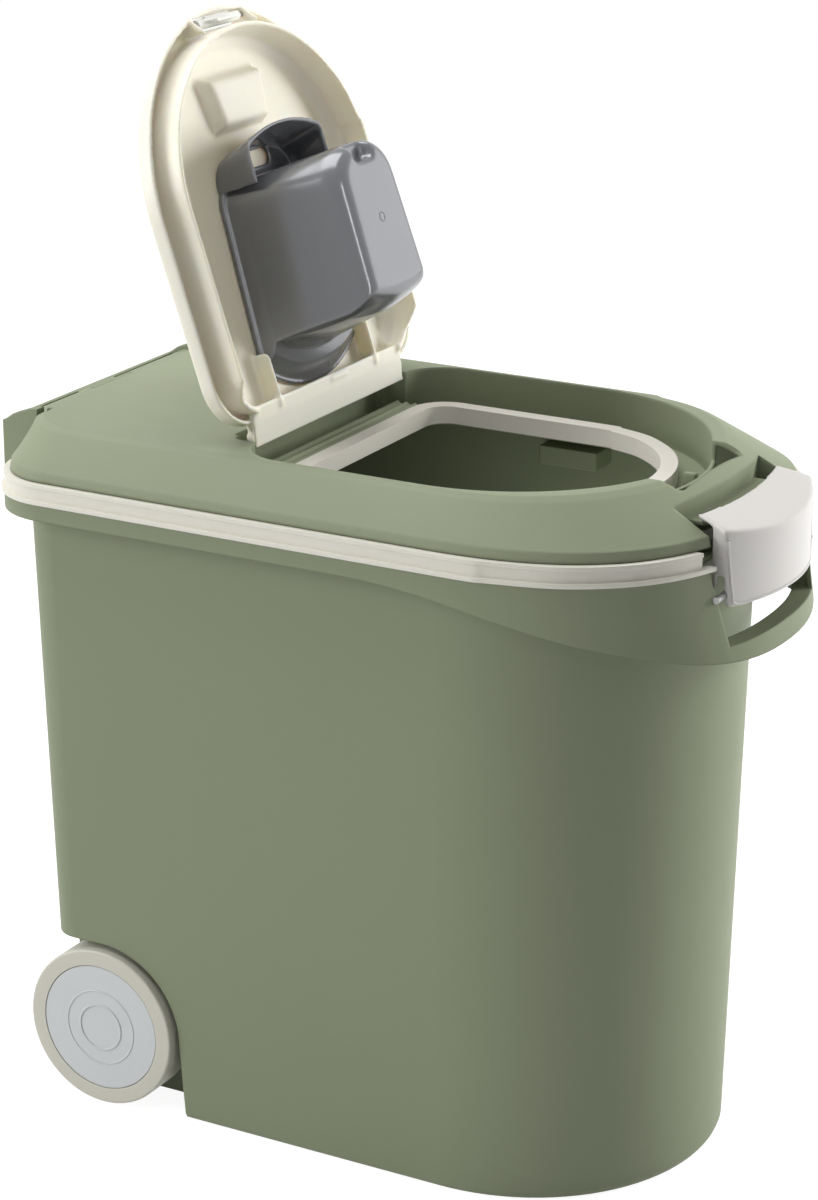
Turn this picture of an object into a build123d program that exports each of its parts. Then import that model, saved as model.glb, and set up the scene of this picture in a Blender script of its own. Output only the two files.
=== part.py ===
"""Wheeled food storage bin with a hinged lid, a flip-up pour door and a scoop.

Millimetres, +Z up, floor at z = 0.  The latch and the carrying handle face -Y,
the wheels and the lid hinge are at +Y.  The pour door stands open at rest.
"""
import math
import os
from collections import namedtuple

from build123d import *

os.makedirs("parts", exist_ok=True)

# A plan outline: half width, rear and front y, rear corner radius, and the
# power of the superellipse that closes its front.
Plan = namedtuple("Plan", "half rear front corner power")

SKIN = 2.6
GAP = 0.5

# Tub wall, from the floor to the rim
WALL_FOOT = Plan(116.8, 191.5, -188.0, 16.0, 2.05)
WALL_TOP = Plan(122.2, 205.5, -198.5, 24.0, 2.05)
RIM_Z = 391.0
FLOOR = 3.0
FOOT_ROUND = 4.0

# Flange under the trim, and the skirt that drops from it to the handle
FLANGE = Plan(142.0, 219.5, -219.0, 44.0, 2.5)
SKIRT = Plan(142.0, 219.5, -231.5, 44.0, 2.3)
FLANGE_Z = 384.0
SKIRT_Z = 322.0
ARC_Y = -73.5
BAR_TOP = 340.0
BAR_DEPTH = 11.0
WINDOW_HALF_LOW = 57.0
WINDOW_HALF_HIGH = 66.0
POST = 3.0

# Wheels and the wells around them
WHEEL_Y = 157.0
WHEEL_R = 50.0
WHEEL_OUT = 122.5
WHEEL_WIDTH = 26.0
WELL_R = 53.5
WELL_X = 88.0
AXLE_R = 4.0
BORE_PLAY = 0.05

# Trim band
TRIM = Plan(144.0, 221.0, -220.5, 46.0, 2.5)
TRIM_TOP = 395.5
TRIM_FRONT_HALF = 70.0
TRIM_LIP_HALF = 62.5

# Lid
LID_FOOT = Plan(138.5, 215.5, -215.0, 40.0, 2.5)
LID_CREASE = Plan(137.3, 214.5, -213.8, 39.0, 2.5)
LID_MID = Plan(127.0, 210.6, -195.0, 39.0, 2.3)
LID_SHOULDER = Plan(118.6, 208.6, -181.0, 36.0, 2.15)
LID_TOP = Plan(114.6, 206.6, -175.6, 38.0, 2.1)
LID_Z = 396.0
CREASE_Z = 401.5
MID_Z = 412.6
SHOULDER_Z = 420.8
TOP_Z = 423.0
RECESS_R = 112.0
RECESS_Y = -58.0
RECESS_REAR = 63.0
RECESS_CORNER = 30.0
BAY_HALF = 86.5
BAY_REAR = 77.0
SLOT_HALF = 79.5
SLOT_REAR = 80.5
RECESS_FLOOR = 397.0
PLUG = Plan(118.6, 201.0, -194.0, 21.0, 2.05)
PLUG_Z = 388.0
SEAL_Z = 397.2

# Rear bracket and lid hinge
BRACKET_HALF = 92.0
BRACKET_REAR = 233.5
HINGE_Y = 219.0
HINGE_Z = 412.0
HINGE_R = 6.0
HINGE_PIN_R = 2.5
EAR_ROOM_Z = 400.4

# Pour opening and its seal
OPENING = Plan(85.5, 42.0, -146.0, 18.0, 2.0)
OPEN_ARC_Y = -66.0
SEAL_TOP = 408.0

# Pour door, drawn closed and then turned to its open stop
DOOR_R = 110.6
DOOR_REAR = 61.5
DOOR_CORNER = 28.6
DOOR_PLATE = 2.5
DOOR_SKIRT = 10.0
DOOR_RING = 23.5
DOOR_WALL = 2.4
RING = Plan(100.5, 58.0, -156.0, 27.0, 2.0)
DOOR_AXIS_Y = 70.5
DOOR_AXIS_Z = 421.5
DOOR_BARREL_R = 4.0
DOOR_PIN_R = 2.0
DOOR_OPEN_DEG = 108.8
CLIP_Y = -160.7
CLIP_Z = 414.5

# Latch
LATCH_AXIS_Y = -214.0
LATCH_AXIS_Z = 368.0
LATCH_PIN_R = 2.0
LATCH_FOOT = 361.5


def shrink(plan, by):
    corner = max(plan.corner - by, 2.0)
    return Plan(plan.half - by, plan.rear - by, plan.front + by, corner, plan.power)


def outline(plan, z, arc_y=ARC_Y):
    """A closed plan face: flat rear, straight sides, superellipse front."""
    half, rear, front, corner, power = plan
    points = []
    for step in range(17):
        turn = math.pi * step / 16
        cosine = math.cos(turn)
        sine = max(math.sin(turn), 0.0)
        x = math.copysign(abs(cosine) ** (2 / power) * half, cosine)
        points.append((x, arc_y - (arc_y - front) * sine ** (2 / power)))
    points[8] = (0.0, front)
    with BuildSketch(Plane.XY.offset(z)) as sketch:
        with BuildLine():
            Line((half - corner, rear), (-(half - corner), rear))
            RadiusArc((-(half - corner), rear), (-half, rear - corner), -corner)
            Line((-half, rear - corner), (-half, arc_y))
            Spline(*reversed(points), tangents=((0, -1), (0, 1)))
            Line((half, arc_y), (half, rear - corner))
            RadiusArc((half, rear - corner), (half - corner, rear), -corner)
        make_face()
    return sketch.sketch.faces()[0]


def prism(plan, low, high, arc_y=ARC_Y):
    return extrude(outline(plan, low, arc_y), high - low, dir=(0, 0, 1))


def band(plan, depth, low, high, arc_y=ARC_Y):
    return prism(plan, low, high, arc_y) - prism(shrink(plan, depth), low - 1, high + 1, arc_y)


def taper(low_plan, low, high_plan, high):
    return loft([outline(low_plan, low), outline(high_plan, high)], ruled=True)


def block(x, y, z):
    """A box from its (low, high) spans."""
    box = Box(x[1] - x[0], y[1] - y[0], z[1] - z[0])
    return Pos((x[0] + x[1]) / 2, (y[0] + y[1]) / 2, (z[0] + z[1]) / 2) * box


def rod(radius, x, y, z):
    """A cylinder along X over the span x."""
    bar = Rot(0, 90, 0) * Cylinder(radius, x[1] - x[0])
    return Pos((x[0] + x[1]) / 2, y, z) * bar


def side_prism(points, x):
    """A (y, z) polygon extruded over the span x."""
    wire = Polyline(*[(x[0], y, z) for y, z in points], close=True)
    return extrude(make_face(wire), x[1] - x[0], dir=(1, 0, 0))


def front_prism(points, y):
    """An (x, z) polygon extruded over the span y."""
    wire = Polyline(*[(x, y[0], z) for x, z in points], close=True)
    return extrude(make_face(wire), y[1] - y[0], dir=(0, 1, 0))


def both(piece):
    return piece + mirror(piece, about=Plane.YZ)


def turn_about(piece, y, z, degrees):
    return Pos(0, y, z) * Rot(degrees, 0, 0) * Pos(0, -y, -z) * piece


def save(name, piece, colour, count=1):
    solids = piece.solids()
    if len(solids) != count:
        print("WRONG COUNT", name, [round(solid.volume, 1) for solid in solids])
    piece = solids[0] if count == 1 else Compound(solids)
    piece.label = name
    piece.color = Color(*colour)
    export_step(piece, f"parts/{name}.step")
    box = piece.bounding_box()
    print(name, round(piece.volume / 1000, 1), "cm3", box.min, box.max)
    return piece


GREEN = (0.52, 0.56, 0.46)
CREAM = (0.86, 0.84, 0.77)
PALE = (0.86, 0.86, 0.84)
GREY = (0.70, 0.72, 0.73)
DARK = (0.30, 0.31, 0.34)
STEEL = (0.7, 0.7, 0.7)


# Tub
def well(grow):
    """The wheel well's side profile, cut from the tub's rear lower corner."""
    radius = WELL_R + grow
    reach = BRACKET_REAR + 20
    with BuildSketch(Plane.YZ) as sketch:
        with BuildLine():
            Line((WHEEL_Y - radius - 3.5, -1), (WHEEL_Y - radius, WHEEL_R))
            RadiusArc((WHEEL_Y - radius, WHEEL_R), (WHEEL_Y, WHEEL_R + radius), radius)
            Polyline(
                (WHEEL_Y, WHEEL_R + radius),
                (reach, WHEEL_R + radius),
                (reach, -1),
                (WHEEL_Y - radius - 3.5, -1),
            )
        make_face()
    shape = extrude(sketch.sketch.faces()[0], 60, dir=(1, 0, 0))
    return Pos(WELL_X - grow, 0, 0) * shape


def skirt_floor():
    """Everything below the skirt's lower edge."""
    with BuildSketch(Plane.YZ) as sketch:
        with BuildLine():
            edge = Spline(
                (-20, 373.8),
                (-74, 370.2),
                (-114, 362.6),
                (-155, 352.2),
                (-190, 342.2),
                (-217, 332.6),
                (-245, 325.0),
                tangents=((-1, 0), (-1, -0.2)),
            )
            Polyline(edge @ 1, (-245, 300), (250, 300), (250, 373.8), edge @ 0)
        make_face()
    return Pos(-160, 0, 0) * extrude(sketch.sketch.faces()[0], 320, dir=(1, 0, 0))


def window():
    """The handle opening in the skirt's front."""
    low, high = WINDOW_HALF_LOW, WINDOW_HALF_HIGH
    points = [(-low, BAR_TOP), (low, BAR_TOP), (high, 385), (-high, 385)]
    return front_prism(points, (-260, -200.5))


def make_body():
    shell = taper(WALL_FOOT, FOOT_ROUND, WALL_TOP, RIM_Z)
    shell += taper(shrink(WALL_FOOT, FOOT_ROUND * 0.3), FOOT_ROUND * 0.3, WALL_FOOT, FOOT_ROUND)
    shell += taper(shrink(WALL_FOOT, FOOT_ROUND), 0, shrink(WALL_FOOT, FOOT_ROUND * 0.3), FOOT_ROUND * 0.3)
    cavity = taper(shrink(WALL_FOOT, SKIN), FLOOR, shrink(WALL_TOP, SKIN), RIM_Z + 1)
    boss = rod(9, (74, WELL_X), WHEEL_Y, WHEEL_R)
    cavity -= both(well(SKIN)) + both(boss)

    skirt_outer = taper(SKIRT, SKIRT_Z, FLANGE, FLANGE_Z)
    skirt_inner = taper(shrink(SKIRT, SKIN), SKIRT_Z - 1, shrink(FLANGE, SKIN), FLANGE_Z + 1)
    skirt = skirt_outer - skirt_inner
    flange = prism(shrink(FLANGE, 1.2), FLANGE_Z - SKIN, FLANGE_Z)

    bar_room = taper(shrink(SKIRT, BAR_DEPTH), SKIRT_Z - 1, shrink(FLANGE, BAR_DEPTH), FLANGE_Z + 1)
    bar = (skirt_outer - bar_room) & block((-74, 74), (-260, -150), (SKIRT_Z, BAR_TOP))

    low, high = WINDOW_HALF_LOW, WINDOW_HALF_HIGH
    points = [(low, BAR_TOP - 20), (low + POST, BAR_TOP - 20), (high + POST, FLANGE_Z), (high, FLANGE_Z)]
    posts = both(front_prism(points, (-260, -150)) & skirt_outer)

    ear_points = [
        (208.5, 382),
        (208.5, 423.5),
        (214, 423),
        (226, 418.6),
        (231, 415),
        (233.5, 410),
        (233.5, 372),
        (224, 372),
    ]
    ears = both(side_prism(ear_points, (BRACKET_HALF - 7, BRACKET_HALF)))
    rear_wall = block((-BRACKET_HALF, BRACKET_HALF), (230.5, 233.5), (372, 414))
    rear_floor = block((-BRACKET_HALF, BRACKET_HALF), (204, 231), (FLANGE_Z - SKIN, FLANGE_Z))
    knuckle = rod(HINGE_R, (-19.5, 19.5), HINGE_Y, HINGE_Z)
    knuckle += block((-19.5, 19.5), (HINGE_Y, 231), (HINGE_Z - HINGE_R, HINGE_Z + 2))

    body = shell + (skirt + bar + posts - skirt_floor()) + flange
    body += rear_floor + rear_wall + ears + knuckle
    body -= cavity
    body -= both(well(0))
    body -= window()

    catch = block((98, 121), (-62, -24), (375, 386.5))
    body += both(catch & shell)

    body -= both(rod(AXLE_R, (76, WELL_X + 1), WHEEL_Y, WHEEL_R))
    body -= both(rod(LATCH_PIN_R, (50, 70), LATCH_AXIS_Y, LATCH_AXIS_Z))
    body -= both(rod(HINGE_PIN_R, (8, BRACKET_HALF - 3), HINGE_Y, HINGE_Z))
    return body


# Trim band, one piece down each side
def make_trim():
    lip = band(TRIM, 5, FLANGE_Z, FLANGE_Z + 2.4)
    wall = band(shrink(TRIM, 2.2), 3, FLANGE_Z, TRIM_TOP)
    top = band(shrink(TRIM, 1.6), 9.8, TRIM_TOP - 2.4, TRIM_TOP)
    inner = band(shrink(TRIM, 8.8), 2.6, FLANGE_Z, TRIM_TOP)
    trim = wall + top + inner - block((-1, TRIM_FRONT_HALF), (-240, -180), (370, 400))
    trim += lip - block((-1, TRIM_LIP_HALF), (-240, -180), (370, 400))
    trim &= block((0, 160), (-240, 240), (370, 400))
    trim -= block((-1, BRACKET_HALF + GAP), (190, 240), (370, 400))
    return trim


# Lid
def dome(by):
    """The lid's outer form, or its hollow when by is the skin."""
    low = taper(shrink(LID_FOOT, by), LID_Z, shrink(LID_CREASE, by), CREASE_Z)
    high = loft(
        [
            outline(shrink(LID_CREASE, by), CREASE_Z),
            outline(shrink(LID_MID, by), MID_Z - by * 0.3),
            outline(shrink(LID_SHOULDER, by), SHOULDER_Z - by * 0.8),
        ]
    )
    crown = taper(shrink(LID_SHOULDER, by), SHOULDER_Z - by * 0.8, shrink(LID_TOP, by), TOP_Z - by)
    return low + high + crown


def recess(radius, rear, corner, low, high):
    """A long D: straight sides and a half-round front."""
    with BuildSketch(Plane.XY.offset(low)) as sketch:
        with BuildLine():
            Line((radius - corner, rear), (corner - radius, rear))
            RadiusArc((corner - radius, rear), (-radius, rear - corner), -corner)
            Line((-radius, rear - corner), (-radius, RECESS_Y))
            ThreePointArc((-radius, RECESS_Y), (0, RECESS_Y - radius), (radius, RECESS_Y))
            Line((radius, RECESS_Y), (radius, rear - corner))
            RadiusArc((radius, rear - corner), (radius - corner, rear), -corner)
        make_face()
    return extrude(sketch.sketch.faces()[0], high - low, dir=(0, 0, 1))


def latch_notch(offset, low):
    """The cut in the lid's front that the latch closes into."""
    half = 59.0 - offset
    with BuildSketch(Plane.XY.offset(low)) as sketch:
        with BuildLine():
            ThreePointArc((-half + 2, -184 - offset), (0, -190 - offset), (half - 2, -184 - offset))
            Polyline(
                (half - 2, -184 - offset),
                (half + 4, -240),
                (-half - 4, -240),
                (-half + 2, -184 - offset),
            )
        make_face()
    return extrude(sketch.sketch.faces()[0], 440 - low, dir=(0, 0, 1))


def make_lid():
    form = dome(0)
    hollow = dome(SKIN)
    cup_low = RECESS_FLOOR - SKIN
    cup = recess(RECESS_R + SKIN, RECESS_REAR + SKIN, RECESS_CORNER + SKIN, cup_low, TOP_Z)
    cup += block((-BAY_HALF - SKIN, BAY_HALF + SKIN), (40, BAY_REAR + SKIN), (cup_low, TOP_Z))
    cup += block((-SLOT_HALF - SKIN, SLOT_HALF + SKIN), (40, SLOT_REAR + SKIN), (cup_low, TOP_Z))
    plug = band(PLUG, 2.4, PLUG_Z, TOP_Z)
    seat = band(shrink(PLUG, -8), 9, SEAL_Z, 399.6) + band(shrink(PLUG, -8), 2, 393.5, TOP_Z)
    box_notch = block((-BRACKET_HALF - 1, BRACKET_HALF + 1), (207, 240), (380, 440))
    box_wall = block((-BRACKET_HALF - 3.4, BRACKET_HALF + 3.4), (204.6, 240), (SEAL_Z, 440))
    ear_room = both(block((BRACKET_HALF - 8, BRACKET_HALF + 1), (202.4, 240), (EAR_ROOM_Z, 440)))
    box_wall += both(block((BRACKET_HALF - 10.4, BRACKET_HALF + 3.4), (200, 240), (EAR_ROOM_Z - 2.4, 440)))
    box_notch += ear_room

    lid = (form - hollow) + ((cup + seat + box_wall) & form)
    lid += (latch_notch(-2.4, SEAL_Z) - latch_notch(0, LID_Z - 1)) & form
    lid += plug & (form + prism(LID_FOOT, PLUG_Z, LID_Z + 1))
    lid -= box_notch
    lid -= latch_notch(0, 380)
    lid += block((-45, 45), (-203, -184), (402, 404.2)) - latch_plan(0, -195.3, 400, 406)

    lid -= recess(RECESS_R, RECESS_REAR, RECESS_CORNER, RECESS_FLOOR, 440)
    bay = block((-BAY_HALF, BAY_HALF), (40, BAY_REAR), (RECESS_FLOOR, 440))
    lid -= fillet(bay.edges().filter_by(Axis.Z), 4)
    lid -= block((-SLOT_HALF, SLOT_HALF), (40, SLOT_REAR), (RECESS_FLOOR, 440))
    finger = block((-42, 42), (-181.5, -140), (412, 440))
    lid -= fillet(finger.edges().filter_by(Axis.Z), 5)
    upstand = band(OPENING, SKIN, RECESS_FLOOR - 1, 405, OPEN_ARC_Y)
    lid += upstand
    lid -= prism(shrink(OPENING, SKIN), 380, 440, OPEN_ARC_Y)
    for y in (52.0, 59.0, 66.0):
        lid += block((-85, 85), (y - 1.2, y + 1.2), (RECESS_FLOOR - 1, RECESS_FLOOR + 3))
    posts = block((13.4, 17), (-165, -157.5), (RECESS_FLOOR - 1, 411))
    lid += both(posts) + block((-14, 14), (-164.4, -162.6), (RECESS_FLOOR + 5, RECESS_FLOOR + 8))

    arms = rod(HINGE_R, (20.5, 84.5), HINGE_Y, HINGE_Z)
    arms += block((20.5, 84.5), (205, HINGE_Y), (HINGE_Z - 2, HINGE_Z + HINGE_R))
    lid += both(arms)
    lid -= both(rod(HINGE_PIN_R + BORE_PLAY, (20, 85), HINGE_Y, HINGE_Z))

    ears = rod(DOOR_BARREL_R, (25.5, 49.5), DOOR_AXIS_Y, DOOR_AXIS_Z)
    ears += block((25.5, 49.5), (DOOR_AXIS_Y, SLOT_REAR + 1), (417.5, DOOR_AXIS_Z + 1.5))
    lid += both(ears)
    lid -= both(rod(DOOR_PIN_R, (25, 50), DOOR_AXIS_Y, DOOR_AXIS_Z))
    return lid


def make_lid_seal():
    return band(shrink(PLUG, -5.6), 5.4, RIM_Z + 0.1, SEAL_Z)


def make_opening_seal():
    outer = shrink(OPENING, -5)
    seal = prism(outer, RECESS_FLOOR + 0.3, SEAL_TOP, OPEN_ARC_Y)
    seal -= prism(shrink(OPENING, 5), 390, 420, OPEN_ARC_Y)
    seal -= band(shrink(OPENING, -0.01), 2.62, 390, 405.02, OPEN_ARC_Y)
    return seal


# Pour door, drawn closed
def ring_plan(by):
    return shrink(RING, by)


def wedge(by, z):
    """The finger pocket's plan, narrower towards the hinge."""
    low, high = 22.5 - by, 27.0 - by
    near, far = -101.5 - by, -127.5 + by
    points = [(-low, near), (low, near), (high, far), (-high, far)]
    return make_face(Polyline(*[(x, y, z) for x, y in points], close=True)).faces()[0]


def make_door():
    top = TOP_Z
    plate = recess(DOOR_R, DOOR_REAR, DOOR_CORNER, top - DOOR_SKIRT, top)
    plate = fillet(plate.faces().sort_by(Axis.Z)[-1].edges(), 2.4)
    inset = DOOR_WALL
    plate -= recess(DOOR_R - inset, DOOR_REAR - inset, DOOR_CORNER - inset, top - 30, top - DOOR_PLATE)
    ring_low = top - DOOR_RING
    ring = prism(ring_plan(0), ring_low, top - 1, OPEN_ARC_Y)
    cove = loft(
        [
            outline(ring_plan(2.4), ring_low - 0.1, OPEN_ARC_Y),
            outline(ring_plan(4.5), top - 8, OPEN_ARC_Y),
            outline(ring_plan(12.0), top - DOOR_PLATE, OPEN_ARC_Y),
        ],
        ruled=True,
    )
    heel = side_prism([(35, ring_low - 1), (35, ring_low), (47, top - 15), (70, top - 15), (70, ring_low - 1)], (-110, 110))
    lip_room = block((-80, 80), (20, 60), (ring_low - 1, top - DOOR_PLATE))
    door = plate + (ring - cove - heel - lip_room)

    pad = loft([wedge(0, top - 11), wedge(-4.5, top - 1)])
    pad = fillet(pad.faces().sort_by(Axis.Z)[0].edges(), 4)
    pocket = loft([wedge(2.4, top - 8.6), wedge(-2.1, top + 0.1)])
    door = door + pad - pocket

    back = DOOR_REAR
    flap = side_prism([(back - 9, 409.6), (back - 9, 411.8), (back + 14, 417), (back + 14, 414.8)], (-85, 85))
    web = block((-85, 85), (back - 3, back + 0.4), (411.4, 421))
    tongue = block((-78, 78), (back - 1, DOOR_AXIS_Y), (DOOR_AXIS_Z - 1.5, top))
    barrel = rod(DOOR_BARREL_R, (-78, 78), DOOR_AXIS_Y, DOOR_AXIS_Z)
    room = rod(DOOR_BARREL_R + 0.6, (25, 50), DOOR_AXIS_Y, DOOR_AXIS_Z)
    room += block((25, 50), (DOOR_AXIS_Y - 5, 90), (417.2, 440))
    door += flap + web + (tongue + barrel - both(room))
    door -= rod(DOOR_PIN_R + BORE_PLAY, (-75, 75), DOOR_AXIS_Y, DOOR_AXIS_Z)

    for x in (22, 34, 70):
        door += both(block((x - 1, x + 1), (back - 6, back - 2), (top - 10, top - 1)))
    guide = block((53.4, 55.6), (27, back - 3), (top - 14, top - 1))
    door += both(fillet(guide.edges().filter_by(Axis.X).group_by(Axis.Z)[0].sort_by(Axis.Y)[0], 4))
    door += block((2, 20), (55.4, 57.2), (top - 14, top - 1))

    door -= block((-26, 26), (-164.6, -157), (410, 440))
    lug = [(-167, top - 8), (-155, top - 19), (-155, top - 1), (-167, top - 1)]
    door += both(side_prism(lug, (26.5, 29.5)))
    door -= rod(1.5, (-28.5, 28.5), CLIP_Y, CLIP_Z)
    return door


def make_clip():
    clip = rod(3.0, (-22, 22), CLIP_Y, CLIP_Z)
    clip += block((-12, 12), (CLIP_Y - 3.6, CLIP_Y), (CLIP_Z - 1, CLIP_Z + 1))
    clip += block((-12, 12), (CLIP_Y - 1, CLIP_Y + 1), (CLIP_Z - 9, CLIP_Z))
    clip -= rod(1.5 + BORE_PLAY, (-23, 23), CLIP_Y, CLIP_Z)
    return clip


# Each section of the scoop: depth, tip y, half width at the tip and at the lip,
# shoulder y, lip y, tip corner radius, shoulder corner radius.
Section = namedtuple("Section", "depth tip half_tip half_lip shoulder lip corner round")

MOUTH = Section(5.5, -69.0, 41.0, 49.5, 36.0, 52.6, 14.0, 8.0)
FLARE = Section(12.5, -69.5, 40.0, 47.5, 30.0, 43.0, 15.0, 8.0)
THROAT = Section(15.5, -69.5, 39.6, 46.0, 23.0, 34.0, 15.0, 8.0)
BELLY = Section(40.0, -71.0, 36.3, 41.5, 21.8, 29.3, 18.0, 9.0)
WAIST = Section(62.0, -72.5, 33.0, 36.6, 20.0, 24.3, 22.0, 10.0)
TURN = Section(70.0, -73.0, 31.5, 34.6, 17.0, 20.8, 22.0, 11.0)
BASE_EDGE = Section(76.0, -71.5, 28.0, 31.6, 13.5, 17.0, 21.0, 11.0)
BASE = Section(79.0, -67.5, 24.0, 28.0, 9.0, 12.2, 18.0, 9.0)
SCOOP_SKIN = 1.8


def scoop_face(section, by, depth):
    tip, shoulder, lip = section.tip + by, section.shoulder - by, section.lip - by
    half_tip, half_lip = section.half_tip - by, section.half_lip - by
    with BuildSketch(Plane.XY.offset(TOP_Z - depth)) as sketch:
        with BuildLine():
            Line((-half_tip, tip), (-half_lip, shoulder))
            ThreePointArc((-half_lip, shoulder), (0, lip), (half_lip, shoulder))
            Line((half_lip, shoulder), (half_tip, tip))
            Line((half_tip, tip), (-half_tip, tip))
        make_face()
        corners = sketch.vertices().group_by(Axis.Y)
        fillet(corners[0], section.corner - by)
        fillet(corners[-1], section.round - by)
    return sketch.sketch.faces()[0]


def scoop_form(by, mouth_depth, base_depth):
    """The bowl's outer form, or its hollow when by is the wall."""
    collar = loft(
        [
            scoop_face(MOUTH, by, mouth_depth),
            scoop_face(FLARE, by, FLARE.depth),
            scoop_face(THROAT, by, THROAT.depth),
        ],
        ruled=True,
    )
    bowl = loft(
        [scoop_face(part, by, part.depth) for part in (THROAT, BELLY, WAIST, TURN, BASE_EDGE)]
        + [scoop_face(BASE, by, base_depth)],
        ruled=True,
    )
    return collar + bowl


def grip_face(by, half, end, crown, corner, depth):
    """The grip's plan: straight sides and a bowed end."""
    with BuildSketch(Plane.XY.offset(TOP_Z - depth)) as sketch:
        with BuildLine():
            Line((-half + by, -60), (-half + by, end + by))
            ThreePointArc((-half + by, end + by), (0, crown + by), (half - by, end + by))
            Line((half - by, end + by), (half - by, -60))
            Line((half - by, -60), (-half + by, -60))
        make_face()
        fillet(sketch.vertices().group_by(Axis.Y)[0], corner - by)
    return sketch.sketch.faces()[0]


def make_scoop():
    rim = MOUTH.depth - 2.7
    bowl = scoop_form(0, MOUTH.depth, BASE.depth)
    hollow = scoop_form(SCOOP_SKIN, MOUTH.depth, BASE.depth - SCOOP_SKIN)
    hollow += extrude(scoop_face(MOUTH, SCOOP_SKIN, rim - 1), MOUTH.depth + 1 - rim, dir=(0, 0, -1))
    flange = extrude(scoop_face(MOUTH, -SCOOP_SKIN, rim), MOUTH.depth + 0.5 - rim, dir=(0, 0, -1))

    grip = loft([grip_face(0, 40.5, -78, -88, 17, rim), grip_face(0, 41.4, -89, -97, 7, 32)])
    inside = [(38.7, -76.2, -86.2, 15.2, rim + SCOOP_SKIN), (39.6, -87.2, -95.2, 5.2, 32.1)]
    grip -= loft([grip_face(0, *sizes) for sizes in inside])
    grip -= block((-60, 60), (-66, 0), (0, TOP_Z))
    hole = block((-19, 19), (-84, -74), (TOP_Z - 10, TOP_Z))
    grip -= fillet(hole.edges().filter_by(Axis.Z), 4.9)

    base = TOP_Z - BASE.depth
    thumb = block((-10, 10), (-80, -61.5), (base - 1, base + 8))
    thumb = fillet(thumb.edges().filter_by(Axis.Z), 4)
    room = block((-12, 12), (-82, -59.5), (base - 2, base + 10))
    room = fillet(room.edges().filter_by(Axis.Z), 6)
    return bowl + flange + grip - (hollow - room) - thumb


# Latch
def latch_top(drop):
    """Everything above the latch's top surface."""
    with BuildSketch(Plane.YZ) as sketch:
        with BuildLine():
            crown = Spline(
                (-180, 413.6 - drop),
                (-197, 411.2 - drop),
                (-217, 405.8 - drop),
                (-245, 395.0 - drop),
            )
            Polyline(crown @ 1, (-245, 440), (-180, 440), crown @ 0)
        make_face()
    return Pos(-80, 0, 0) * extrude(sketch.sketch.faces()[0], 160, dir=(1, 0, 0))


def latch_plan(by, rear, low, high):
    with BuildSketch(Plane.XY.offset(low)) as sketch:
        with BuildLine():
            ThreePointArc((-59.5 + by, -216 + by), (0, -231.6 + by), (59.5 - by, -216 + by))
            Line((59.5 - by, -216 + by), (53 - by, rear))
            ThreePointArc((53 - by, rear), (0, rear - 5.5), (-53 + by, rear))
            Line((-53 + by, rear), (-59.5 + by, -216 + by))
        make_face()
    return extrude(sketch.sketch.faces()[0], high - low, dir=(0, 0, 1))


def make_latch():
    taper_sides = front_prism([(-55, LATCH_FOOT), (55, LATCH_FOOT), (60.5, 415), (-60.5, 415)], (-260, -180))
    outer = (latch_plan(0, -196.5, LATCH_FOOT, 415) & taper_sides) - latch_top(0)
    inner = latch_plan(2.6, -196.5, LATCH_FOOT - 1, 415) - latch_top(2.8)
    inner += block((-70, 70), (-207, -190), (LATCH_FOOT - 1, 402.5))
    inner += latch_plan(-9, -186, LATCH_FOOT - 1, 415) & block((-70, 70), (-207, -180), (340, 415)) - latch_top(2.8)
    latch = outer - inner
    bead = latch_plan(0, -197, 405.6, 409) - latch_plan(-1, -199.2, 400, 420)
    latch += bead & block((-51, 51), (-210, -190), (400, 420))
    lip = latch_plan(-0.1, -196.5, LATCH_FOOT, LATCH_FOOT + 2.6) & block((-54.9, 54.9), (-260, -209), (350, 370))
    latch += lip - latch_plan(2.6, -190, 350, 400)
    lug = rod(5, (38, 44), LATCH_AXIS_Y, LATCH_AXIS_Z)
    lug += block((38, 44), (-222.5, LATCH_AXIS_Y), (LATCH_AXIS_Z - 5, LATCH_AXIS_Z + 5))
    latch += both(lug)
    latch -= both(rod(LATCH_PIN_R + BORE_PLAY, (37, 62), LATCH_AXIS_Y, LATCH_AXIS_Z))
    return latch


# Wheel, drawn on the left (-X) side
def make_wheel():
    out = -WHEEL_OUT
    inward = out + WHEEL_WIDTH
    wheel = rod(WHEEL_R, (out, inward), WHEEL_Y, WHEEL_R)
    wheel = fillet(wheel.edges(), 1.2)
    wheel -= rod(40.2, (out - 1, out + 3), WHEEL_Y, WHEEL_R)
    wheel -= rod(38.6, (out, inward - 3), WHEEL_Y, WHEEL_R) - rod(9, (out + 10, inward), WHEEL_Y, WHEEL_R)
    wheel += rod(9, (out + 10, -WELL_X - 1), WHEEL_Y, WHEEL_R)
    wheel -= rod(AXLE_R + BORE_PLAY, (out, -WELL_X), WHEEL_Y, WHEEL_R)
    return wheel


def make_cap():
    out = -WHEEL_OUT + 0.3
    cap = rod(39.8, (out, out + 2.6), WHEEL_Y, WHEEL_R)
    cap += rod(38.6, (out + 2.5, out + 9), WHEEL_Y, WHEEL_R) - rod(36.8, (out + 2.4, out + 10), WHEEL_Y, WHEEL_R)
    cap += rod(15.2, (out - 0.5, out + 1), WHEEL_Y, WHEEL_R) - rod(13.8, (out - 1, out + 1.1), WHEEL_Y, WHEEL_R)
    cap += rod(24.2, (out - 0.3, out + 1), WHEEL_Y, WHEEL_R) - rod(23.2, (out - 1, out + 1.1), WHEEL_Y, WHEEL_R)
    return cap


def make_axle():
    seat = -WHEEL_OUT + 10
    axle = rod(AXLE_R, (seat - 1, -76), WHEEL_Y, WHEEL_R)
    axle += rod(7.5, (seat - 3.1, seat - 0.1), WHEEL_Y, WHEEL_R)
    return axle


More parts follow.
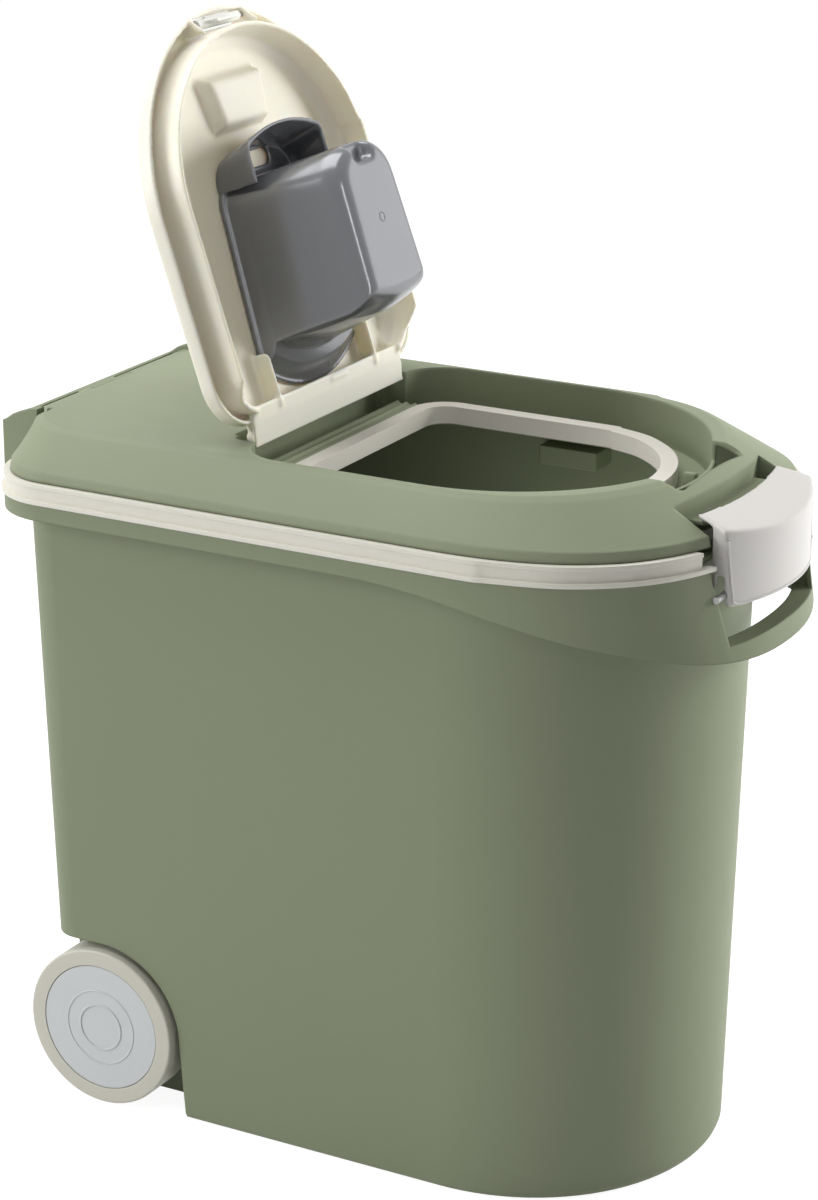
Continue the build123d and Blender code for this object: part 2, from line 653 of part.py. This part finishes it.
def opened(piece):
    return turn_about(piece, DOOR_AXIS_Y, DOOR_AXIS_Z, -DOOR_OPEN_DEG)


def flip(piece):
    return mirror(piece, about=Plane.YZ)


save("bin_body", make_body(), GREEN)
trim = make_trim()
save("rim_trim_right", trim, CREAM)
save("rim_trim_left", flip(trim), CREAM)

save("main_lid", make_lid(), GREEN)
save("lid_seal", make_lid_seal(), GREY)
save("opening_seal", make_opening_seal(), CREAM)
hinge_pin = rod(HINGE_PIN_R, (8, BRACKET_HALF - 3), HINGE_Y, HINGE_Z)
save("lid_hinge_pins", both(hinge_pin), STEEL, 2)

save("pour_door", opened(make_door()), CREAM)
save("door_hinge_pin", rod(DOOR_PIN_R, (-74.5, 74.5), DOOR_AXIS_Y, DOOR_AXIS_Z), STEEL)
save("door_clip", opened(make_clip()), PALE)
save("clip_pin", opened(rod(1.5, (-28.5, 28.5), CLIP_Y, CLIP_Z)), STEEL)
save("scoop", opened(make_scoop()), DARK)

save("front_latch", make_latch(), PALE)
save("latch_pin", rod(LATCH_PIN_R, (-65, 65), LATCH_AXIS_Y, LATCH_AXIS_Z), STEEL)

for side, place in (("left", lambda piece: piece), ("right", flip)):
    save(f"wheel_{side}", place(make_wheel()), CREAM)
    save(f"hub_cap_{side}", place(make_cap()), GREY)
    save(f"axle_{side}", place(make_axle()), STEEL)
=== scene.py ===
"""The look of a wheeled food storage bin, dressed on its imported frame. Metres, +Z up."""
import math

import bpy
from mathutils import Matrix, Vector


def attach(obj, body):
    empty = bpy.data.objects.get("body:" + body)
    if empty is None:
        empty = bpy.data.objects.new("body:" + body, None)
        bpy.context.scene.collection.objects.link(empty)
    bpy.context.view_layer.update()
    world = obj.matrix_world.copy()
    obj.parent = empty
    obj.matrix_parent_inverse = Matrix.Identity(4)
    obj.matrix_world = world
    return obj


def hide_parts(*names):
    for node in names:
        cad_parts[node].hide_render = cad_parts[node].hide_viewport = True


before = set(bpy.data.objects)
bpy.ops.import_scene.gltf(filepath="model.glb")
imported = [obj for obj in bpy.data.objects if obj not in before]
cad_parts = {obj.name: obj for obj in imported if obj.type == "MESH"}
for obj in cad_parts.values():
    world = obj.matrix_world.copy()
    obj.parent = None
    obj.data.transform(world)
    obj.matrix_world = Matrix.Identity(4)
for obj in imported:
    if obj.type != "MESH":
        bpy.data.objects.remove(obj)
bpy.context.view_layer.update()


# Camera
# The product shot: a long lens off the bin's front left corner, a little above the lid. Its place and
# turn follow the bin's outline in the photo.
CAMERA_PLACE = (-1.6345, -0.9019, 0.9545)
CAMERA_PITCH = math.radians(71.04)
CAMERA_TURN = math.radians(-60.81)
CAMERA_LENS = 100.62
CAMERA_SENSOR = 36

bpy.ops.object.select_all(action="DESELECT")
bpy.ops.object.camera_add(location=CAMERA_PLACE, rotation=(CAMERA_PITCH, 0, CAMERA_TURN))
camera = bpy.context.object
camera.name = "product_camera"
camera.data.lens = CAMERA_LENS
camera.data.sensor_width = CAMERA_SENSOR
camera.data.dof.use_dof = False
bpy.context.scene.camera = camera
bpy.context.scene.view_settings.view_transform = "Standard"


# Studio
# A white sweep under soft boxes: overhead, off the rear left wheel and off the front right corner, so the
# long wall is even and the nose goes from shade to a bright edge. A faint one in the bin stands for the
# light through its walls. Sweep and sky look white, also in reflections, but light the bin plainly.
WHITE = (1, 1, 1, 1)
SKY_LIGHT = 0.2
SKY_WHITE = 1.0
SWEEP_SIZE = 24
SWEEP_DROP = 0.0005
SWEEP_PAPER = (0.8, 0.8, 0.8, 1)
SWEEP_WHITENESS = 0.65
SWEEP_GLOW = 1.42


def soft_box(name, place, aim, size, watts):
    """An area lamp of (width, height) that faces a point."""
    bpy.ops.object.light_add(type="AREA", location=place)
    lamp = bpy.context.object
    lamp.name = name
    lamp.data.shape = "RECTANGLE"
    lamp.data.size, lamp.data.size_y = size
    lamp.data.energy = watts
    lamp.rotation_euler = (Vector(aim) - Vector(place)).to_track_quat("-Z", "Y").to_euler()
    return lamp


soft_box("overhead_box", place=(-0.1, 0.6, 2.2), aim=(0, 0.05, 0.4), size=(1.6, 1.6), watts=33)
soft_box("wall_box", place=(-1.75, 1.75, 1.1), aim=(0, 0, 0.3), size=(1.1, 1.4), watts=36)

# Only glosses see the strip, which draws a bright line down the nose
edge_strip = soft_box("edge_strip", place=(-1.15, -1.85, 1.0), aim=(0, 0, 0.5), size=(0.14, 1.1), watts=7)
edge_strip.visible_diffuse = False

# The nose box would blow out the scoop's polished base, so it has no reflection, and the panel stands in
soft_box("pale_panel", place=(2.0, -1.2, 0.75), aim=(0, 0, 0.45), size=(1.0, 1.2), watts=5)
nose_box = soft_box("nose_box", place=(1.9, -1.6, 0.9), aim=(0, 0, 0.35), size=(0.9, 1.4), watts=66)
nose_box.visible_glossy = False

inside_fill = soft_box(
    "inside_fill", place=(-0.03, -0.13, 0.24), aim=(0.1, -0.13, 0.32), size=(0.06, 0.08), watts=0.19
)
inside_fill.visible_camera = False
inside_fill.visible_glossy = False


def feed(links, value, socket):
    """Set an input to a number, or link it to a socket."""
    if isinstance(value, (int, float)):
        socket.default_value = value
    else:
        links.new(value, socket)


def combine(nodes, links, operation, first, second):
    """One math node on two sockets or numbers."""
    node = nodes.new("ShaderNodeMath")
    node.operation = operation
    feed(links, first, node.inputs[0])
    feed(links, second, node.inputs[1])
    return node.outputs[0]


def seen_or_mirrored(nodes, links):
    """A mask that is 1 for camera, mirror and glass rays, and 0 for the light that falls on things."""
    path = nodes.new("ShaderNodeLightPath").outputs
    either = combine(nodes, links, "MAXIMUM", path["Is Camera Ray"], path["Is Glossy Ray"])
    return combine(nodes, links, "MAXIMUM", either, path["Is Transmission Ray"])


def one_colour(nodes, kind, colour, strength=None):
    """A shader of one colour, and of a strength where it gives light."""
    shader = nodes.new(kind)
    shader.inputs["Color"].default_value = colour
    if strength is not None:
        shader.inputs["Strength"].default_value = strength
    return shader.outputs[0]


def show_by_mask(nodes, links, mask, plain, seen, output):
    """End a node tree on one shader where the mask is 0, and on the other where it is 1."""
    choose = nodes.new("ShaderNodeMixShader")
    links.new(mask, choose.inputs[0])
    links.new(plain, choose.inputs[1])
    links.new(seen, choose.inputs[2])
    links.new(choose.outputs[0], nodes.new(output).inputs["Surface"])


world = bpy.data.worlds.new("studio")
bpy.context.scene.world = world
world.use_nodes = True
nodes, links = world.node_tree.nodes, world.node_tree.links
nodes.clear()
plain_sky = one_colour(nodes, "ShaderNodeBackground", WHITE, SKY_LIGHT)
white_sky = one_colour(nodes, "ShaderNodeBackground", WHITE, SKY_WHITE)
mask = seen_or_mirrored(nodes, links)
show_by_mask(nodes, links, mask, plain_sky, white_sky, "ShaderNodeOutputWorld")

bpy.ops.mesh.primitive_plane_add(size=SWEEP_SIZE, location=(0, 0, -SWEEP_DROP))
floor = bpy.context.object
floor.name = "sweep"
sweep = bpy.data.materials.new("white_sweep")
sweep.use_nodes = True
nodes, links = sweep.node_tree.nodes, sweep.node_tree.links
nodes.clear()
paper = one_colour(nodes, "ShaderNodeBsdfDiffuse", SWEEP_PAPER)
glow = one_colour(nodes, "ShaderNodeEmission", WHITE, SWEEP_GLOW)
mask = combine(nodes, links, "MULTIPLY", seen_or_mirrored(nodes, links), SWEEP_WHITENESS)
show_by_mask(nodes, links, mask, paper, glow, "ShaderNodeOutputMaterial")
floor.data.materials.append(sweep)


# Tub
# One injection moulding in sage polypropylene: walls, skirt, carrying bar, wheel wells and hinge box.
# The tool is spark-textured, so the skin is satin with a fine grain and a faint waviness over the ribs.
SAGE = (0.212, 0.241, 0.154)
EDGE_ROUND = 0.0007
EDGE_SAMPLES = 8
TUB_ROUND = 0.0016
PITS_PER_METRE = 1400.0
SPECKLE_SHARE = 0.35
GLOSS_SWING = 0.05
RELIEF_STRENGTH = 0.35
RELIEF_DEPTH = 0.0002


def new_group(name, inputs, outputs):
    """An empty shader group, its nodes and links, and its named sockets as they are inside."""
    group = bpy.data.node_groups.new(name, "ShaderNodeTree")
    for label, kind, value in inputs:
        socket = group.interface.new_socket(label, in_out="INPUT", socket_type=kind)
        if value is not None:
            socket.default_value = value
    for label, kind in outputs:
        group.interface.new_socket(label, in_out="OUTPUT", socket_type=kind)
    start = group.nodes.new("NodeGroupInput").outputs
    end = group.nodes.new("NodeGroupOutput").inputs
    return group, group.nodes, group.links, start, end


def noise(nodes, links, place, scale, detail):
    """A noise texture over object coordinates, and its factor socket."""
    texture = nodes.new("ShaderNodeTexNoise")
    texture.inputs["Detail"].default_value = detail
    feed(links, scale, texture.inputs["Scale"])
    links.new(place, texture.inputs["Vector"])
    return texture.outputs["Fac"]


# Spark texture: fine pits on long shallow waves, as a height
grain, nodes, links, start, end = new_group(
    "spark_texture",
    [
        ("Place", "NodeSocketVector", None),
        ("Pits per metre", "NodeSocketFloat", PITS_PER_METRE),
        ("Pit depth", "NodeSocketFloat", 0.3),
        ("Wave depth", "NodeSocketFloat", 1.0),
    ],
    [("Height", "NodeSocketFloat"), ("Cloud", "NodeSocketFloat")],
)
pits = noise(nodes, links, start["Place"], scale=start["Pits per metre"], detail=2.0)
waves = noise(nodes, links, start["Place"], scale=16.0, detail=1.0)
cloud = noise(nodes, links, start["Place"], scale=42.0, detail=3.0)
pit_height = combine(nodes, links, "MULTIPLY", pits, start["Pit depth"])
wave_height = combine(nodes, links, "MULTIPLY", waves, start["Wave depth"])
links.new(combine(nodes, links, "ADD", pit_height, wave_height), end["Height"])
links.new(cloud, end["Cloud"])

# Resin tone: the colour drifts a little where pigment and flow differ
tone, nodes, links, start, end = new_group(
    "resin_tone",
    [
        ("Place", "NodeSocketVector", None),
        ("Colour", "NodeSocketColor", (0.5, 0.5, 0.5, 1)),
        ("Drift", "NodeSocketFloat", 0.05),
    ],
    [("Colour", "NodeSocketColor")],
)
broad = noise(nodes, links, start["Place"], scale=5.0, detail=2.0)
speckle = noise(nodes, links, start["Place"], scale=380.0, detail=1.0)
both = combine(nodes, links, "ADD", broad, combine(nodes, links, "MULTIPLY", speckle, SPECKLE_SHARE))
centred = combine(nodes, links, "SUBTRACT", both, 0.5 * (1 + SPECKLE_SHARE))
swing = combine(nodes, links, "MULTIPLY", centred, start["Drift"])
shift = nodes.new("ShaderNodeHueSaturation")
links.new(start["Colour"], shift.inputs["Color"])
links.new(combine(nodes, links, "ADD", swing, 1.0), shift.inputs["Value"])
links.new(combine(nodes, links, "SUBTRACT", 1.0, swing), shift.inputs["Saturation"])
links.new(shift.outputs["Color"], end["Colour"])


def new_finish(name):
    """A new material, its nodes and links, its main shader's inputs and its object coordinates."""
    material = bpy.data.materials.new(name)
    material.use_nodes = True
    nodes, links = material.node_tree.nodes, material.node_tree.links
    place = nodes.new("ShaderNodeTexCoord").outputs["Object"]
    return material, nodes, links, nodes["Principled BSDF"].inputs, place


def toned(nodes, links, place, colour, drift):
    """A colour with the resin tone's drift."""
    resin = nodes.new("ShaderNodeGroup")
    resin.node_tree = tone
    resin.inputs["Colour"].default_value = (*colour, 1)
    resin.inputs["Drift"].default_value = drift
    links.new(place, resin.inputs["Place"])
    return resin.outputs["Colour"]


def spread(nodes, links, value, low, high):
    """A value from 0 to 1, spread over a range."""
    node = nodes.new("ShaderNodeMapRange")
    node.inputs["To Min"].default_value = low
    node.inputs["To Max"].default_value = high
    links.new(value, node.inputs["Value"])
    return node.outputs["Result"]


def moulded_finish(
    name,
    colour,
    roughness,
    pits=PITS_PER_METRE,
    pit_depth=0.3,
    wave=1.0,
    drift=0.06,
    edge=EDGE_ROUND,
    specular=0.4,
):
    """A moulded plastic: resin tone for colour, spark texture for relief and gloss, softened edges."""
    material, nodes, links, plastic, place = new_finish(name)
    plastic["Specular IOR Level"].default_value = specular
    links.new(toned(nodes, links, place, colour, drift), plastic["Base Color"])

    texture = nodes.new("ShaderNodeGroup")
    texture.node_tree = grain
    texture.inputs["Pits per metre"].default_value = pits
    texture.inputs["Pit depth"].default_value = pit_depth
    texture.inputs["Wave depth"].default_value = wave
    links.new(place, texture.inputs["Place"])
    gloss = spread(nodes, links, texture.outputs["Cloud"], roughness - GLOSS_SWING, roughness + GLOSS_SWING)
    links.new(gloss, plastic["Roughness"])

    soft_edge = nodes.new("ShaderNodeBevel")
    soft_edge.samples = EDGE_SAMPLES
    soft_edge.inputs["Radius"].default_value = edge
    relief = nodes.new("ShaderNodeBump")
    relief.inputs["Strength"].default_value = RELIEF_STRENGTH
    relief.inputs["Distance"].default_value = RELIEF_DEPTH
    links.new(texture.outputs["Height"], relief.inputs["Height"])
    links.new(soft_edge.outputs["Normal"], relief.inputs["Normal"])
    links.new(relief.outputs["Normal"], plastic["Normal"])
    return material


def dress(node, material):
    """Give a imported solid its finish; its own clean normals stay."""
    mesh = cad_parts[node].data
    mesh.materials.clear()
    mesh.materials.append(material)


sage_tub = moulded_finish("sage_polypropylene", SAGE, roughness=0.52, specular=0.3, edge=TUB_ROUND)
dress("bin_body", sage_tub)


# Rim trim
# Two cream bands of satin polypropylene, one down each side, with a rounded top bead. They are snapped
# over the tub's flange.
TRIM_CREAM = (0.71, 0.69, 0.61)

cream_trim = moulded_finish("cream_trim", TRIM_CREAM, roughness=0.38, drift=0.04)
for side in ("left", "right"):
    dress(f"rim_trim_{side}", cream_trim)


# Lid
# The domed lid in a sage resin, with its recess, ribs, latch notch and hinge arms. Its edges are rounder
# than the tub's.
LID_SAGE = (0.246, 0.276, 0.184)
LID_ROUND = 0.003

sage_lid = moulded_finish(
    "sage_lid", LID_SAGE, roughness=0.52, pit_depth=0.25, specular=0.25, edge=LID_ROUND
)
dress("main_lid", sage_lid)


# Drip ledge
# The lid's ledge between the pour opening and the door hinge. Three ribs across it break a drip's run
# and give the door's rear edge a dust stop. Part of the lid's moulding, in the same sage resin.
LEDGE_HALF = 0.079
LEDGE_FRONT = 0.0478
LEDGE_DEPTH = 0.0186
LEDGE_FLOOR = 0.3970
LEDGE_HEIGHT = 0.0086
LEDGE_RIB = 0.0016
LEDGE_RIBS = 3
STEPS_PER_RIB = 8
CREASE = math.radians(40)

bpy.ops.object.select_all(action="DESELECT")
bpy.ops.mesh.primitive_grid_add(x_subdivisions=1, y_subdivisions=STEPS_PER_RIB * LEDGE_RIBS + 1, size=1)
ledge = bpy.context.object
ledge.name = "drip_ledge"
ledge.scale = (2 * LEDGE_HALF, LEDGE_DEPTH, 1)
ledge.location = (0, LEDGE_FRONT + LEDGE_DEPTH / 2, LEDGE_FLOOR + LEDGE_HEIGHT)
bpy.ops.object.transform_apply(location=True, rotation=True, scale=True)
pitch = LEDGE_DEPTH / LEDGE_RIBS
for vertex in ledge.data.vertices:
    along = (vertex.co.y - LEDGE_FRONT) / pitch
    vertex.co.z += LEDGE_RIB * (0.5 - 0.5 * math.cos(2 * math.pi * along))
bpy.ops.object.mode_set(mode="EDIT")
bpy.ops.mesh.select_all(action="SELECT")
bpy.ops.mesh.extrude_region_move(TRANSFORM_OT_translate={"value": (0, 0, -LEDGE_HEIGHT)})
bpy.ops.transform.resize(value=(1, 1, 0), center_override=(0, 0, LEDGE_FLOOR))
bpy.ops.mesh.select_all(action="SELECT")
bpy.ops.mesh.normals_make_consistent(inside=False)
bpy.ops.object.mode_set(mode="OBJECT")
bpy.ops.object.shade_smooth_by_angle(angle=CREASE)
ledge.data.materials.append(sage_lid)
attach(ledge, "lid")


# Seals
# A grey silicone ring in the lid, which is pressed on the tub's rim, and a cream one pushed over the pour
# opening's upstand. Both have a matt moulded skin.
RING_GREY = (0.35, 0.35, 0.34)
GASKET_CREAM = (0.68, 0.65, 0.585)
RUBBER_PITS = 900.0

grey_rubber = moulded_finish("grey_silicone", RING_GREY, roughness=0.6, pits=RUBBER_PITS)
cream_rubber = moulded_finish("cream_silicone", GASKET_CREAM, roughness=0.5, pits=RUBBER_PITS, drift=0.03)
dress("lid_seal", grey_rubber)
dress("opening_seal", cream_rubber)


# Pour door
# A cream flip-up door with its ring, finger pocket and scoop guides. Glossier than the tub, and the
# thin walls let a little warm light through. Its tool has generous radii, so the edges are soft.
DOOR_CREAM = (0.81, 0.785, 0.69)
DOOR_TRANSLUCENCE = 0.35
DOOR_WARMTH = (1.0, 0.72, 0.36)
DOOR_LIGHT_REACH = 0.006
DOOR_GRID = 0.0011
DOOR_ROUNDS = 6
DOOR_TRIANGLES = 180000
WELD = 0.000005
RELAX = 0.5


def soften(piece, name, group, rounds):
    """Relax a piece's surface, over all of it or by a vertex group."""
    relax = piece.modifiers.new(name, "SMOOTH")
    relax.factor = RELAX
    relax.iterations = rounds
    relax.vertex_group = group
    bpy.ops.object.modifier_apply(modifier=relax.name)


def softened(node, piece_name, body, material, grid, rounds, fuller=0):
    """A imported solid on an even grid, its edges worn round as a polished tool leaves them."""
    piece = bpy.data.objects.new(piece_name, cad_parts[node].data.copy())
    bpy.context.scene.collection.objects.link(piece)
    bpy.ops.object.select_all(action="DESELECT")
    piece.select_set(True)
    bpy.context.view_layer.objects.active = piece
    bpy.ops.object.mode_set(mode="EDIT")
    bpy.ops.mesh.select_all(action="SELECT")
    bpy.ops.mesh.remove_doubles(threshold=WELD)
    bpy.ops.object.mode_set(mode="OBJECT")
    if fuller:
        thicken = piece.modifiers.new("thicken", "DISPLACE")
        thicken.strength = fuller
        thicken.mid_level = 0
        bpy.ops.object.modifier_apply(modifier=thicken.name)
    even_grid = piece.modifiers.new("even_grid", "REMESH")
    even_grid.mode = "VOXEL"
    even_grid.voxel_size = grid
    bpy.ops.object.modifier_apply(modifier=even_grid.name)
    soften(piece, "deburr", "", rounds)
    piece.data.materials.clear()
    piece.data.materials.append(material)
    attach(piece, body)
    bpy.ops.object.shade_smooth()
    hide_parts(node)
    return piece


def thin_out(piece, triangles):
    """Bring a fine grid of four-sided faces down to a number of triangles."""
    fewer = piece.modifiers.new("fewer_faces", "DECIMATE")
    fewer.ratio = min(1.0, triangles / (2 * len(piece.data.polygons)))
    bpy.ops.object.modifier_apply(modifier=fewer.name)


cream_door = moulded_finish("cream_door", DOOR_CREAM, roughness=0.36, pit_depth=0.15, drift=0.05)
door_shader = cream_door.node_tree.nodes["Principled BSDF"].inputs
door_shader["Subsurface Weight"].default_value = DOOR_TRANSLUCENCE
door_shader["Subsurface Radius"].default_value = DOOR_WARMTH
door_shader["Subsurface Scale"].default_value = DOOR_LIGHT_REACH
door = softened("pour_door", "door_shell", "door", cream_door, DOOR_GRID, DOOR_ROUNDS)
thin_out(door, DOOR_TRIANGLES)


# Snap clip
# A small milky clip at the door's tip, moulded without pigment. It rocks on its own pin and holds the
# door shut.
CLIP_MILK = (0.78, 0.78, 0.74)

milky = moulded_finish("milky_clip", CLIP_MILK, roughness=0.22, pit_depth=0.05)
dress("door_clip", milky)


# Scoop
# A grey metallic-pigmented scoop with polished sides, clipped in the door by its lip. The bowl is
# blended round at its base, and the collar, rim and grip stay crisp.
SCOOP_GREY = (0.180, 0.183, 0.195)
SCOOP_FLAKE = 0.45
SCOOP_COAT = 0.2
SCOOP_COAT_ROUGHNESS = 0.15
SCOOP_GRID = 0.0006
SCOOP_ROUNDS = 8
SCOOP_FULLER = 0.00025
SCOOP_TRIANGLES = 150000
DOOR_HINGE = Vector((0, 0.0705, 0.4215))
DOOR_OPENING = math.radians(108.8)
BOWL_DEPTHS = (0.016, 0.034)
BOWL_ROUNDS = 140
GATE_PLACE = (0, -0.028, 0.3439)
GATE_RING = 0.0026
GATE_WIRE = 0.0004

graphite = moulded_finish("graphite_scoop", SCOOP_GREY, roughness=0.22, pit_depth=0.04, wave=0.3)
scoop_shader = graphite.node_tree.nodes["Principled BSDF"].inputs
scoop_shader["Metallic"].default_value = SCOOP_FLAKE
scoop_shader["Coat Weight"].default_value = SCOOP_COAT
scoop_shader["Coat Roughness"].default_value = SCOOP_COAT_ROUGHNESS

scoop = softened("scoop", "scoop_shell", "scoop", graphite, SCOOP_GRID, SCOOP_ROUNDS, SCOOP_FULLER)

# The bowl is rounder the deeper it goes, square to the open door
inward = Vector((0, -math.sin(DOOR_OPENING), -math.cos(DOOR_OPENING)))
bowl = scoop.vertex_groups.new(name="bowl")
shallow, deep = BOWL_DEPTHS
for vertex in scoop.data.vertices:
    depth = (vertex.co - DOOR_HINGE).dot(inward)
    weight = min(max((depth - shallow) / (deep - shallow), 0), 1)
    if weight > 0:
        bowl.add([vertex.index], weight, "REPLACE")
soften(scoop, "blend_round", "bowl", BOWL_ROUNDS)
thin_out(scoop, SCOOP_TRIANGLES)

# The ring that the mould's gate leaves in the middle of the base, placed at the shut door and turned open
bpy.ops.object.select_all(action="DESELECT")
bpy.ops.mesh.primitive_torus_add(
    location=GATE_PLACE, major_radius=GATE_RING, minor_radius=GATE_WIRE, major_segments=36, minor_segments=8
)
gate = bpy.context.object
gate.name = "gate_ring"
bpy.ops.object.transform_apply(location=True, rotation=True, scale=True)
gate.data.transform(
    Matrix.Translation(DOOR_HINGE) @ Matrix.Rotation(-DOOR_OPENING, 4, "X") @ Matrix.Translation(-DOOR_HINGE)
)
bpy.ops.object.shade_smooth()
gate.data.materials.append(graphite)
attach(gate, "scoop")


# Latch
# The off-white latch that turns on a pin in the handle's posts and snaps over the lid's front. Satin
# outside, with a raised bead round its face.
LATCH_WHITE = (0.60, 0.58, 0.555)
LATCH_GRID = 0.0008
LATCH_ROUNDS = 24
LATCH_FOOT = 0.3615
FACE_RADIUS = 0.1213
FACE_CENTRE_Y = -0.1103
BEAD_RADIUS = 0.0009
BEAD_ROUNDNESS = 3
BEAD_STEPS = 4
BEAD_TOP = 0.4000
BEAD_MIDDLE = 0.3800
BEAD_BEND = LATCH_FOOT + 0.0060
BEAD_FOOT = LATCH_FOOT + 0.0014
BEAD_HALF_TOP = 0.0578
BEAD_HALF_MIDDLE = 0.0558
BEAD_HALF_FOOT = 0.0538

white_latch = moulded_finish("white_latch", LATCH_WHITE, roughness=0.36, pit_depth=0.15, drift=0.03)
softened("front_latch", "latch_shell", "latch", white_latch, LATCH_GRID, LATCH_ROUNDS)

# The raised bead that stiffens the face's edge: down one side, round the foot and up the other
side = [(BEAD_HALF_TOP, BEAD_TOP), (BEAD_HALF_MIDDLE, BEAD_MIDDLE), (BEAD_HALF_FOOT, BEAD_BEND)]
route = [(-x, z) for x, z in side]
route += [(BEAD_HALF_FOOT * (step / BEAD_STEPS - 1), BEAD_FOOT) for step in range(2 * BEAD_STEPS + 1)]
route += reversed(side)
bpy.ops.object.select_all(action="DESELECT")
bpy.ops.curve.primitive_nurbs_path_add()
bead = bpy.context.object
bead.name = "latch_bead"
line = bead.data.splines[0]
line.points.add(len(route) - len(line.points))
for point, (x, z) in zip(line.points, route):
    point.co = (x, FACE_CENTRE_Y - math.sqrt(FACE_RADIUS**2 - x**2), z, 1)
line.order_u = 3
line.use_endpoint_u = True
bead.data.bevel_depth = BEAD_RADIUS
bead.data.bevel_resolution = BEAD_ROUNDNESS
bead.data.use_fill_caps = True
bpy.ops.object.convert(target="MESH")
bpy.ops.object.shade_smooth()
bead.data.materials.append(white_latch)
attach(bead, "latch")


# Wheels
# Stone grey polypropylene wheels that turn on the axles in the tub's rear corners. A light grey cap is
# snapped in each.
WHEEL_STONE = (0.56, 0.545, 0.475)
HUB_GREY = (0.57, 0.59, 0.595)

stone = moulded_finish("stone_wheel", WHEEL_STONE, roughness=0.5, pit_depth=0.35)
pale_hub = moulded_finish("pale_hub", HUB_GREY, roughness=0.46, drift=0.03)
for side in ("left", "right"):
    dress(f"wheel_{side}", stone)
    dress(f"hub_cap_{side}", pale_hub)


# Pins and axles
# Drawn steel wire, cut to length and pressed in. Drawing leaves fine lines along it, so its gloss varies
# round the wire.
STEEL_GREY = (0.42, 0.42, 0.42)
STEEL_ROUGHNESS = (0.34, 0.52)
DRAW_LINES = (20, 900, 900)

steel, nodes, links, metal, place = new_finish("drawn_steel")
metal["Metallic"].default_value = 1.0
links.new(toned(nodes, links, place, STEEL_GREY, drift=0.15), metal["Base Color"])
stretch = nodes.new("ShaderNodeMapping")
stretch.inputs["Scale"].default_value = DRAW_LINES
links.new(place, stretch.inputs["Vector"])
draw_lines = noise(nodes, links, stretch.outputs["Vector"], scale=1.0, detail=3.0)
links.new(spread(nodes, links, draw_lines, *STEEL_ROUGHNESS), metal["Roughness"])
for pin in ("lid_hinge_pins", "door_hinge_pin", "clip_pin", "latch_pin", "axle_left", "axle_right"):
    dress(pin, steel)
